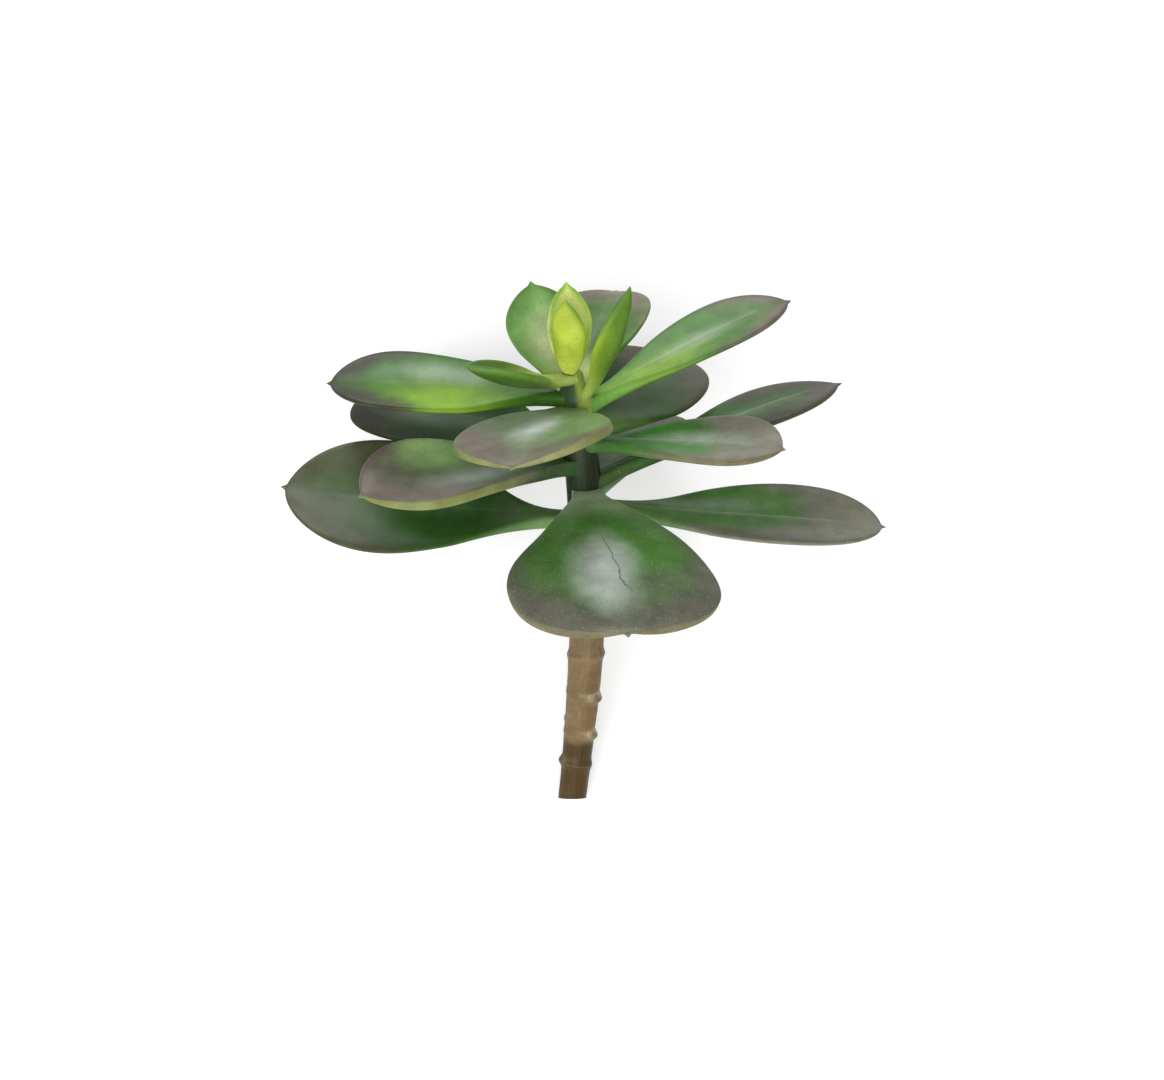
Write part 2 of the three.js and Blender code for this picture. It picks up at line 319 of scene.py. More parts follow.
def grid_map(rings, around):
    """The UV of each face corner, in the order of grid_faces: U round the piece and V along it."""
    v = np.arange(rings) / (rings - 1)
    u0, u1 = np.arange(around) / around, (np.arange(around) + 1) / around
    low, high = v[1:-2, None] + 0 * u0, v[2:-1, None] + 0 * u0
    left, right = u0 + 0 * low, u1 + 0 * low
    quads = np.stack([left, low, right, low, right, high, left, high], -1)
    middle = (u0 + u1) / 2
    foot = np.stack([middle, 0 * u0 + v[0], u1, 0 * u0 + v[1], u0, 0 * u0 + v[1]], -1)
    tip = np.stack([middle, 0 * u0 + v[-1], u0, 0 * u0 + v[-2], u1, 0 * u0 + v[-2]], -1)
    return np.concatenate([quads.ravel(), foot.ravel(), tip.ravel()])


def ends_to_points(values):
    """A (rings, around, n) array as rows of corners, its first and last rings each a single row."""
    return np.vstack([values[:1, 0], values[1:-1].reshape(-1, values.shape[-1]), values[-1:, 0]])


def skin_piece(name, points, marks):
    """A smooth closed piece from rings of growing-frame points. Marks are {attribute: (rings, around, 3)}."""
    rings, around = points.shape[:2]
    quads, fans = grid_faces(rings, around)
    places = lay_down(ends_to_points(points))
    places[:, 2] = np.maximum(places[:, 2], 0)  # soft flesh lies flat where it meets the table
    mesh = bpy.data.meshes.new(name)
    mesh.from_pydata(places.tolist(), [], quads.tolist() + fans.tolist())
    mesh.uv_layers.new(name="skin").data.foreach_set("uv", grid_map(rings, around))
    for title, values in marks.items():
        attribute = mesh.attributes.new(title, "FLOAT_VECTOR", "POINT")
        attribute.data.foreach_set("vector", ends_to_points(values).ravel())
    mesh.shade_smooth()
    piece = bpy.data.objects.new(name, mesh)
    bpy.context.scene.collection.objects.link(piece)
    return piece


# %% [markdown]
# ## The leaf's skin
# Most leaves of this kind roll over softly to a thin margin. The broad ones that point to the front have a
# crisp upper margin instead, and a flat rim about as high as the blade is thick. Superellipses give both
# sections: the powers say how square the margin is, and how flat the face and the underside are. The face
# carries a groove over the midrib, a slight swelling on both sides of it, and a thin lip at a crisp margin.
# The underside has a keel. The tip ends in a small point, the margins wander a little, and the foot spreads
# and hugs the stem. Those are all added to the depth or the width of the same formula that the solids have.

# %% The section of a leaf
ROUND_LEAF, ALONG_LEAF = 120, 116
CRISP_SECTION, SOFT_SECTION = (60, 9, 2.6), (5, 2.4, 1.5)  # powers of the margin, face and underside
# The crisp leaves, each with the share of its thickness that it keeps up to its very tip.
CRISP_LEAVES = {"upper_leaf_front": 0.45, "middle_leaf_front_left": 0.5, "lower_leaf_front": 1.0}
CRISP_TIP = 80  # the power that closes that thickness, in place of the solids' 9
SECTION_ASPECT = 5.0  # the corners are spread as if the section were this many times as wide as thick


def quarter_section(margin, power):
    """|across|^margin + through^power = 1, from the margin to the middle, by through and then by across."""
    climb = np.linspace(0, 0.9, 300)
    rim = np.stack([(1 - climb**power) ** (1 / margin), climb], -1)
    run = np.linspace(rim[-1, 0], 0, 600)[1:]
    face = np.stack([run, (1 - run**margin) ** (1 / power)], -1)
    return np.vstack([rim, face])


def section(count, margin, face, underside):
    """The whole section as count places, evenly far apart along its outline, turning from the right margin
    over the face to the left margin and back underneath."""
    over, under = quarter_section(margin, face), quarter_section(margin, underside) * [1, -1]
    outline = np.vstack([over, over[-2::-1] * [-1, 1], (under * [-1, 1])[1:], under[-2::-1]])
    steps = np.linalg.norm(np.diff(outline * [SECTION_ASPECT, 1], axis=0), axis=1)
    run = np.concatenate([[0], np.cumsum(steps)])
    places = np.arange(count) / count * run[-1]
    return np.interp(places, run, outline[:, 0]), np.interp(places, run, outline[:, 1])


crisp_section, soft_section = section(ROUND_LEAF, *CRISP_SECTION), section(ROUND_LEAF, *SOFT_SECTION)
print("section places:", ROUND_LEAF, "of which on a crisp rim:", int((np.abs(crisp_section[0]) > 0.99).sum()))

# %% The fine skin of a leaf
GROOVE_DEPTH, GROOVE_WIDTH = 0.35, 1.2  # over the midrib, where it shows
SWELL = 0.5  # of the face on both sides of the midrib
KEEL = 0.7  # under the midrib
LIP_HEIGHT, LIP_PLACE = 0.12, 0.7  # a raised line just inside the margin
WAVE = 0.8  # of the margins, up and down
FLUTTER = 0.015  # of the outline, as a share of the width
TIP_POINT, TIP_WIDTH = 1.7, 1.6  # the small point's length, and half the blade's width where it begins
SINK = 1.1  # of the foot into the stem
CLASP, CLASP_REACH = 1.5, 3.0  # how far the foot spreads, and how soon that fades
HUG_SHARE, HUG_REACH = 0.9, 7.0  # how much of the stem's round the foot follows, and how far along the leaf
GOLDEN_ANGLE = 2.39996  # radians, for a phase of its own in each leaf
SIZED_FOR = 45  # mm: the width of the leaf that these details are sized for
CRISP_RIM, SOFT_RIM = (0.25, 0.7), (0.3, 3.0)  # mm from the margin between which the rim's colour fades
FAINT_MIDRIB = 0.1
# The leaves whose midrib shows as a line in a groove, and how strongly.
MIDRIB_LINES = {"upper_leaf_right": 0.5, "middle_leaf_right": 0.6, "middle_leaf_front_right": 0.5,
                "lower_leaf_right": 0.8}


def leaf_piece(row, number):
    """One leaf's skin. To the blade's formula it adds, in millimetres of depth, with t for along and a for
    across: face: swell * (1 - a^2) * sin(pi t) - groove * bell(x) + lip * bell(margin distance); underside:
    keel * (1 - |a|)^1.5 * sin(pi t); both: wave * a^2 * sin(7 t + phase) * sin(pi t). A crisp leaf also keeps
    a share of its thickness up to the tip."""
    crisp = row["name"] in CRISP_LEAVES
    along = ((1 - np.cos(np.linspace(0, np.pi, ALONG_LEAF))) / 2)[:, None] + np.zeros(ROUND_LEAF)
    across, through = (part + 0 * along for part in (crisp_section if crisp else soft_section))
    scale = row["width"] / SIZED_FOR
    phase = number * GOLDEN_ANGLE
    half = half_width(row, along)
    aside = np.abs(across) * half
    inward = half - aside
    over, under = np.clip(through, 0, 1) ** 2, np.clip(-through, 0, 1) ** 2
    middle = np.sin(np.pi * along)
    line = MIDRIB_LINES.get(row["name"], FAINT_MIDRIB)
    groove = bell(aside, 0, GROOVE_WIDTH) * smoothstep(along, 0.03, 0.2) * (1 - smoothstep(along, 0.75, 0.97))
    lip = bell(inward, LIP_PLACE, 0.4) * smoothstep(along, 0.25, 0.5) * crisp
    wave = WAVE * across**2 * np.sin(7 * along + phase + np.sign(across)) * middle
    extra = over * (SWELL * (1 - across**2) * middle - GROOVE_DEPTH * line * groove + LIP_HEIGHT * lip)
    extra = (extra - under * KEEL * (1 - np.abs(across)) ** 1.5 * middle + wave) * scale
    wander = 1 + FLUTTER * np.sin(9 * along + phase + 2 * np.sign(across)) * middle
    if crisp:
        full = CRISP_LEAVES[row["name"]] * row["blade"] / 2 * np.sqrt(np.maximum(0, 1 - along**CRISP_TIP))
        extra = extra + through * np.maximum(0, full - half_thickness(row, along))
    points = blade(row, along, across * wander, through, extra)
    forward, side, _ = axes(row, along)
    point = np.maximum(0, 1 - half / TIP_WIDTH) ** 1.2 * (along > 0.5) * TIP_POINT * np.sqrt(scale)
    points = points + forward * point[..., None]
    reach = along * row["length"]
    if row["foot"] is None:  # a leaf on the stem's side: its foot spreads and follows the stem's round
        spread = CLASP * np.exp(-reach / CLASP_REACH)
        points = points + side * (spread * across)[..., None]
        round_stem = stem_radius(row["height"])
        offset = np.minimum(aside + spread, HUG_SHARE * round_stem)
        hug = SINK + round_stem - np.sqrt(round_stem**2 - offset**2)
        points = points - forward * (hug * (1 - smoothstep(reach, 0, HUG_REACH)))[..., None]
    rim = (1 - smoothstep(inward, *(CRISP_RIM if crisp else SOFT_RIM))) * smoothstep(along, 0.15, 0.5)
    vein = bell(aside, 0, 0.4) * over * line
    vein = vein * smoothstep(along, 0.1, 0.3) * (1 - smoothstep(along, 0.7, 0.95))
    marks = {
        "place": np.stack([along, across, through], -1),
        "marks": np.stack([rim, vein, 0 * rim], -1),
    }
    return skin_piece(row["name"] + "_skin", points, marks)


leaves = {row["name"]: leaf_piece(row, number) for number, row in enumerate(LEAVES)}
print("leaf skins:", len(leaves), "with", len(leaves["lower_leaf_front"].data.polygons), "faces each")

# %% [markdown]
# ## The stem's skin
# The bare stem keeps a scar where each old leaf stood: a ridge that runs round it and tilts, with a knuckle
# on the side where the leaf was and a shallow pan above it. Fine furrows run along the bark. The cut slants
# down towards the back and is dished as it dries, and the green top closes in a small dome under the bud. It
# is one grid again: the radius is a function of the height and of the angle round the stem.

# %% The stem's skin
ROUND_STEM, ALONG_STEM = 144, 420
RIDGE, KNUCKLE, PAN = 0.5, 1.1, 0.3  # how far a scar's parts stand proud of the bark, or lie in it
DISH, DOME = 0.4, 1.6  # depth of the cut end's middle, and height of the green top
CAP_RINGS = 12
# A painted glint: a pale spot beside each scar's knuckle, where light catches it.
GLINT_ANGLE, GLINT_WIDTH = 22, 16  # degrees: a scar's pale spot stands beside its knuckle

# Each old leaf's scar: its height, the azimuth it faces, how far its ridge rises on that side, and how strong
# its ridge and its knuckle are.
SCARS = [(11, -75, 1.0, 1.9, 0.25), (23, 58, -0.8, 0.9, 1.0), (30, -80, -1.6, 0.3, 0.2),
         (38, 50, -1.2, 0.8, 1.2), (53, 25, 0.5, 1.8, 0.15), (68, 160, 0.8, 1.0, 0.6),
         (82, -100, 0.8, 1.0, 0.6), (95, 40, -0.8, 1.0, 0.6)]
# Each family of furrows: how many go round, how far they turn with the height (radians to a millimetre), and
# their phase.
FURROWS = [(9, 0.1, 0.3), (14, -0.18, 1.7), (23, 0.32, 4.1), (37, -0.44, 2.6)]
FURROW_DEPTH = 0.035
BARK_END = (100, 140)  # the heights between which the bark's furrows fade into the green stem
SHARP_ANGLE = np.radians(50)  # keeps the rim of the cut crisp


def stem_piece():
    """radius = stem_radius + for each scar (ridge * bell + knuckle * bell * facing^4 - pan * bell * facing^2)
    + fine furrows, where facing is the cosine of the angle from the scar's azimuth, if it is above 0. Near
    the cut each point drops by tan(slant) times how far behind the stem's line it is."""
    rows = np.linspace(CUT_HEIGHT, STEM_LENGTH, ALONG_STEM)
    shares = np.linspace(0, 1, CAP_RINGS + 1)[:-1]
    dish, dome = DISH * (1 - shares**2), DOME * (1 - shares[::-1] ** 2)
    heights = np.concatenate([CUT_HEIGHT + dish, rows, STEM_LENGTH + dome])
    size = np.concatenate([shares, np.ones(ALONG_STEM), shares[::-1]])
    height = heights[:, None] + np.zeros(ROUND_STEM)
    azimuth = np.linspace(0, 2 * np.pi, ROUND_STEM, endpoint=False) + 0 * height
    scar_mark, scar_and_glint_mark, radius = 0 * height, 0 * height, stem_radius(height)
    for level, faces, tilt, ridge_share, knuckle_share in SCARS:
        toward = np.cos(azimuth - np.radians(faces))
        facing = np.maximum(toward, 0)
        above = height - level - tilt * toward
        ridge = bell(above, 0, 0.6 + 0.6 * ridge_share) * ridge_share
        knuckle = bell(above, -0.3, 1.4) * facing**4 * knuckle_share
        pan = bell(above, 1.9, 0.8) * facing**2 * knuckle_share
        radius = radius + RIDGE * ridge * (0.6 + 0.4 * facing) + KNUCKLE * knuckle - PAN * pan
        off_angle = np.degrees(np.arccos(np.clip(toward, -1, 1)))
        # Painted glint: a pale spot beside the knuckle, carried with the pale pan in the scar and glint mark.
        spot = bell(above, 1.0, 0.9) * bell(off_angle, GLINT_ANGLE, GLINT_WIDTH)
        scar_mark = scar_mark + bell(above, 0, 0.5) * min(ridge_share, 1)
        scar_and_glint_mark = scar_and_glint_mark + 0.5 * pan + spot * knuckle_share
    woody = 1 - smoothstep(height, *BARK_END)
    for waves, turn, phase in FURROWS:
        radius = radius + FURROW_DEPTH * woody * np.sin(waves * azimuth + turn * height + phase)
    radius = radius * size[:, None]
    slanting = np.maximum(0, (CUT_REACH - height) / (CUT_REACH - CUT_HEIGHT))
    aside, behind = radius * np.sin(azimuth) + stem_centre(height), -radius * np.cos(azimuth)
    points = np.stack([aside, behind, height - np.tan(np.radians(CUT_SLANT)) * behind * slanting], -1)
    cut = (1 - size)[:, None] * (height < 1)
    marks = {
        "place": np.stack([height / STEM_LENGTH, np.sin(azimuth), np.cos(azimuth)], -1),
        "marks": np.stack([scar_mark, scar_and_glint_mark, cut], -1),
    }
    return skin_piece("stem_skin", points, marks)


stem = stem_piece()
stem.data.set_sharp_from_angle(angle=SHARP_ANGLE)
print("stem skin:", len(stem.data.polygons), "faces")

# %% [markdown]
# ## Wiring shaders
# A node tree is easier to read as a sum than as a list of sockets. Wires puts one node in a tree for each
# call and gives back its output, so that a pattern can be written from the inside out, like a formula.

# %% Wires


class Wires:
    """Short calls that add a node to a tree, link or set its inputs, and return what comes out of it."""

    def __init__(self, tree):
        self.tree = tree

    def put(self, kind, inputs, **settings):
        """A node with its settings made and its inputs linked, where a value is a socket, or set."""
        node = self.tree.nodes.new("ShaderNode" + kind)
        for title, value in settings.items():
            setattr(node, title, value)
        for title, value in inputs.items():
            if isinstance(value, bpy.types.NodeSocket):
                self.tree.links.new(value, node.inputs[title])
            else:
                node.inputs[title].default_value = value
        return node

    def math(self, operation, a, b=0.0):
        return self.put("Math", {0: a, 1: b}, operation=operation).outputs[0]

    def plus(self, a, b):
        return self.math("ADD", a, b)

    def minus(self, a, b):
        return self.math("SUBTRACT", a, b)

    def times(self, a, b):
        return self.math("MULTIPLY", a, b)

    def distance(self, a, b):
        """sqrt(a^2 + b^2)"""
        return self.math("SQRT", self.plus(self.times(a, a), self.times(b, b)))

    def step(self, value, low, high):
        """0 below low, 1 above high, smooth between. With low above high it falls instead."""
        inputs = {"Value": value, "From Min": low, "From Max": high}
        return self.put("MapRange", inputs, interpolation_type="SMOOTHSTEP").outputs[0]

    def blend(self, share, a, b):
        """Colour a at share 0 and b at share 1."""
        return self.put("Mix", {0: share, 6: a, 7: b}, data_type="RGBA").outputs[2]

    def noise(self, place, scale, detail=2.0, roughness=0.5):
        inputs = {"Vector": place, "Scale": scale, "Detail": detail, "Roughness": roughness}
        return self.put("TexNoise", inputs).outputs[0]

    def attribute(self, title):
        """The three parts of a vector attribute of the mesh."""
        vector = self.put("Attribute", {}, attribute_name=title).outputs["Vector"]
        return self.put("SeparateXYZ", {0: vector}).outputs

    def object_place(self):
        return self.put("TexCoord", {}).outputs["Object"]


def group(title, inputs, outputs, body):
    """A shader node group: its sockets are {name: default} and {name: kind}, and body(wires, sockets) returns
    a socket for each output."""
    tree = bpy.data.node_groups.new(title, "ShaderNodeTree")
    for name, value in inputs.items():
        kind = "NodeSocketColor" if isinstance(value, tuple) else "NodeSocketFloat"
        tree.interface.new_socket(name, in_out="INPUT", socket_type=kind).default_value = value
    for name, kind in outputs.items():
        tree.interface.new_socket(name, in_out="OUTPUT", socket_type="NodeSocket" + kind)
    wires = Wires(tree)
    made = body(wires, tree.nodes.new("NodeGroupInput").outputs)
    ends = tree.nodes.new("NodeGroupOutput").inputs
    for name, socket in made.items():
        tree.links.new(socket, ends[name])
    return tree


# %% [markdown]
# ## Effects that several finishes share
# Leaves and bark share mottling, which varies a colour's lightness over a few millimetres and again at the
# size of the skin's cells, and grain, a height for the bump. All leaves share dust, which scatters sparse
# pale specks in loose drifts. Each is a node group, so each finish only states how strong it is.

# %% Mottling, dust and grain


def mottle_body(wires, given):
    """colour * (1 + strength * (broad - 0.5 + fine - 0.5)), with two sizes of noise."""
    place = wires.object_place()
    broad = wires.noise(place, 140.0, 3.0)
    fine = wires.noise(place, 2200.0, 2.0, 0.7)
    sum_of = wires.plus(wires.minus(broad, 0.5), wires.minus(fine, 0.5))
    value = wires.plus(wires.times(sum_of, given["Strength"]), 1.0)
    colour = wires.put("VectorMath", {0: given["Colour"], 1: value}, operation="MULTIPLY").outputs[0]
    return {"Colour": colour}


def dust_body(wires, given):
    """1 inside small spots round a Voronoi pattern's points, where a broad noise lets the drift lie."""
    place = wires.object_place()
    spots = wires.put("TexVoronoi", {"Vector": place, "Scale": 1150.0, "Randomness": 1.0}).outputs["Distance"]
    drift = wires.step(wires.noise(place, 95.0, 2.0), wires.minus(0.72, given["Amount"]), 0.8)
    spot = wires.step(spots, 0.27, 0.14)
    chance = wires.step(wires.noise(place, 900.0, 0.0), 0.5, 0.6)
    return {"Mask": wires.times(wires.times(spot, drift), chance)}


def grain_body(wires, given):
    """A height from two sizes of noise, times Depth, which is in metres."""
    place = wires.object_place()
    height = wires.plus(wires.noise(place, 420.0, 3.0), wires.noise(place, 1900.0, 2.0))
    return {"Height": wires.times(height, given["Depth"])}


MOTTLE = group("mottle", {"Colour": (0.5, 0.5, 0.5, 1), "Strength": 0.3}, {"Colour": "Color"}, mottle_body)
DUST = group("dust", {"Amount": 0.1}, {"Mask": "Float"}, dust_body)
GRAIN = group("grain", {"Depth": 0.05}, {"Height": "Float"}, grain_body)
print("shared effects:", [tree.name for tree in (MOTTLE, DUST, GRAIN)])

# %% [markdown]
# ## The leaf's finish
# A leaf is green in its middle, paler in its petiole, and blushes to a mauve grey towards the tip and the
# margins, where it has had the most sun. The rim is olive, the midrib shows as a thin pale line, and the
# underside is duller. Young leaves and some old ones have a lime patch. All of that follows the leaf's own
# shape, so it is worked out from the place that each corner carries, with some noise to loosen the borders.
# Bloom and sheen, the pale wax with a painted highlight laid in with it for the blade's whitish sheen, lies in
# one soft spot on each leaf, dust lies on some, and the broad front leaf has dried to a fine crack.

# %% The leaf's finish
LEAF_SOCKETS = {
    "Core": (0.05, 0.14, 0.03, 1), "Petiole": (0.2, 0.33, 0.08, 1), "Blush": (0.12, 0.1, 0.085, 1),
    "Rim": (0.26, 0.3, 0.07, 1), "Under": (0.05, 0.09, 0.035, 1), "Patch": (0.27, 0.45, 0.05, 1),
    "Blush From": 0.55, "Blush To": 0.95, "Blush Tilt": 0.0,
    "Patch Along": 0.5, "Patch Across": 0.0, "Patch Size": 0.25,
    "Patch Strength": 0.0, "Rim Strength": 0.4, "Rim Side": 0.0, "Dust": 0.05, "Dust Side": 0.0,
    "Bloom": 0.15, "Bloom Along": 0.55, "Bloom Across": -0.05, "Crack": 0.0,
}
# The bloom and sheen's pale is wax and a painted highlight in one.
BLOOM_AND_SHEEN_PALE, VEIN_PALE, DUST_PALE = (0.52, 0.57, 0.52, 1), (0.5, 0.55, 0.42, 1), (0.62, 0.63, 0.5, 1)
CRACK_DARK = (0.035, 0.05, 0.02, 1)
PATCH_ROUND, BLOOM_AND_SHEEN_ROUND = 0.35, 0.8  # how fast each fades across the blade, if it is 1 along it
BLOOM_AND_SHEEN_REACH = 0.38
CRACK_SLANT, CRACK_WANDER = 0.35, 0.16  # how far it runs from the midrib, and wavers on its way
PETIOLE_END = (0.02, 0.32)  # the places along the leaf between which the petiole's green fades


def leaf_green(wires, given, along, across, cloud):
    """The green of the petiole and the blade, with the patch, whose edge the cloud loosens."""
    green = wires.blend(wires.step(along, *PETIOLE_END), given["Petiole"], given["Core"])
    gap_across = wires.times(wires.minus(across, given["Patch Across"]), PATCH_ROUND)
    gap = wires.distance(wires.minus(along, given["Patch Along"]), gap_across)
    gap = wires.plus(gap, wires.times(cloud, 0.2))
    patch = wires.times(wires.step(gap, given["Patch Size"], 0.0), given["Patch Strength"])
    return wires.blend(patch, green, given["Patch"])


def leaf_sun(wires, given, along, across, cloud):
    """How far along + 0.3 * across^2 + 0.5 * cloud + tilt * across is between the blush's two limits."""
    sun = wires.plus(along, wires.times(wires.times(across, across), 0.3))
    sun = wires.plus(sun, wires.times(cloud, 0.5))
    sun = wires.plus(sun, wires.times(across, given["Blush Tilt"]))
    return wires.step(sun, given["Blush From"], given["Blush To"])


def leaf_bloom_and_sheen(wires, given, along, across, cloud):
    """The pale wax and painted sheen fade with the distance from their own place on the blade."""
    gap_across = wires.times(wires.minus(across, given["Bloom Across"]), BLOOM_AND_SHEEN_ROUND)
    gap = wires.distance(gap_across, wires.minus(along, given["Bloom Along"]))
    wax_and_sheen = wires.step(wires.plus(gap, wires.times(cloud, 0.25)), BLOOM_AND_SHEEN_REACH, 0.0)
    return wires.times(wax_and_sheen, given["Bloom"])


def leaf_crack(wires, given, along, across, place):
    """A fine dark line where across = slant * (along - 0.5) + wander * (noise - 0.5), in mid-blade."""
    waver = wires.times(wires.minus(wires.noise(place, 130.0, 2.0), 0.5), CRACK_WANDER)
    course = wires.plus(wires.times(wires.minus(along, 0.5), CRACK_SLANT), waver)
    line = wires.step(wires.math("ABSOLUTE", wires.minus(across, course)), 0.014, 0.003)
    stretch = wires.times(wires.step(along, 0.4, 0.5), wires.step(along, 0.82, 0.74))
    return wires.times(line, wires.times(stretch, given["Crack"]))


def leaf_body(wires, given):
    """Green, blush, bloom and painted sheen, midrib line, crack, underside, rim and dust, each laid over the
    one before. The rim and the dust can lie on one side: -1 is the left margin and 1 the right."""
    along, across, through = wires.attribute("place")
    rim, vein, _ = wires.attribute("marks")
    place = wires.object_place()
    cloud = wires.minus(wires.noise(place, 55.0, 3.0), 0.5)
    colour = leaf_green(wires, given, along, across, cloud)
    colour = wires.blend(leaf_sun(wires, given, along, across, cloud), colour, given["Blush"])
    # Painted sheen: a soft pale spot of wax and painted highlight laid into the colour.
    colour = wires.blend(leaf_bloom_and_sheen(wires, given, along, across, cloud), colour, BLOOM_AND_SHEEN_PALE)
    colour = wires.blend(vein, colour, wires.blend(0.55, colour, VEIN_PALE))
    colour = wires.blend(leaf_crack(wires, given, along, across, place), colour, CRACK_DARK)
    below = wires.times(wires.step(through, -0.1, -0.6), wires.minus(1.0, rim))
    below = wires.times(below, wires.step(along, 0.05, 0.3))
    colour = wires.blend(wires.times(below, 0.75), colour, given["Under"])
    on_side = wires.step(wires.times(across, given["Rim Side"]), -0.6, 0.2)
    rim = wires.times(wires.times(rim, on_side), given["Rim Strength"])
    colour = wires.blend(rim, colour, given["Rim"])
    colour = wires.put("Group", {"Colour": colour, "Strength": 0.8}, node_tree=MOTTLE).outputs[0]
    dust = wires.put("Group", {"Amount": given["Dust"]}, node_tree=DUST).outputs[0]
    on_side = wires.step(wires.times(across, given["Dust Side"]), -0.5, 0.1)
    colour = wires.blend(wires.times(wires.times(dust, on_side), 0.6), colour, DUST_PALE)
    rough = wires.plus(wires.times(wires.noise(place, 300.0, 3.0), 0.16), 0.27)
    return {"Colour": colour, "Roughness": wires.plus(rough, wires.times(rim, 0.1))}


LEAF_SKIN = group("leaf skin", LEAF_SOCKETS, {"Colour": "Color", "Roughness": "Float"}, leaf_body)


def new_material(title):
    """An empty node material and its wires."""
    material = bpy.data.materials.new(title)
    material.use_nodes = True
    material.node_tree.nodes.clear()
    return material, Wires(material.node_tree)


def leaf_material(title, subsurface, gloss=1.0, **values):
    """A waxy leaf: a satin skin under a thin coat. Its IOR is below a real leaf's, because the pale table
    would grey the flat leaves, and the bloom and sheen colour paints in the highlight that this leaves out."""
    material, wires = new_material(title)
    inputs = {name.replace("_", " ").title(): value for name, value in values.items()}
    skin = wires.put("Group", inputs, node_tree=LEAF_SKIN)
    height = wires.put("Group", {"Depth": 0.00003}, node_tree=GRAIN).outputs[0]
    bump = wires.put("Bump", {"Height": height, "Strength": 0.5, "Distance": 1.0})
    shader = wires.put("BsdfPrincipled", {
        "Base Color": skin.outputs["Colour"], "Roughness": skin.outputs["Roughness"],
        "Normal": bump.outputs[0], "IOR": 1.12, "Specular IOR Level": 0.5 * gloss,
        "Coat Weight": 0.1 * gloss, "Coat Roughness": 0.24,
        "Subsurface Weight": subsurface, "Subsurface Radius": (0.4, 1.0, 0.2), "Subsurface Scale": 0.003})
    wires.put("OutputMaterial", {"Surface": shader.outputs[0]})
    return material


# %% [markdown]
# ## A finish for each leaf
# No two leaves of a rosette have had the same sun. Each age has its own greens, and each leaf then says where
# its blush begins, and whether it has a lime patch, bloom with painted sheen, an olive rim or dust, and where.
# A few leaves' greens are also painted darker or paler, as painted shade or light where it falls on them.

# %% A finish for each leaf
AGE_LOOKS = {
    "bud": dict(core=(0.44, 0.5, 0.05, 1), petiole=(0.5, 0.58, 0.1, 1), rim=(0.12, 0.28, 0.03, 1),
        under=(0.36, 0.46, 0.05, 1), blush=(0.2, 0.34, 0.04, 1), blush_from=0.85, blush_to=1.3,
        rim_strength=0.55, dust=0.0, bloom=0.0, subsurface=0.15),
    "young": dict(core=(0.08, 0.2, 0.03, 1), petiole=(0.4, 0.52, 0.14, 1), rim=(0.1, 0.22, 0.03, 1),
        under=(0.05, 0.12, 0.02, 1), blush=(0.07, 0.14, 0.04, 1), blush_from=0.8, blush_to=1.3,
        rim_strength=0.4, dust=0.02, bloom=0.1, subsurface=0.1),
    "mature": dict(core=(0.03, 0.085, 0.016, 1), petiole=(0.15, 0.28, 0.08, 1), rim=(0.05, 0.06, 0.02, 1),
        under=(0.02, 0.04, 0.012, 1), blush=(0.085, 0.085, 0.06, 1), blush_from=0.6, blush_to=1.05,
        rim_strength=0.35, dust=0.05, bloom=0.12, subsurface=0.05),
}
OLIVE_LIME, OLIVE_BROWN = (0.19, 0.22, 0.06, 1), (0.14, 0.12, 0.05, 1)
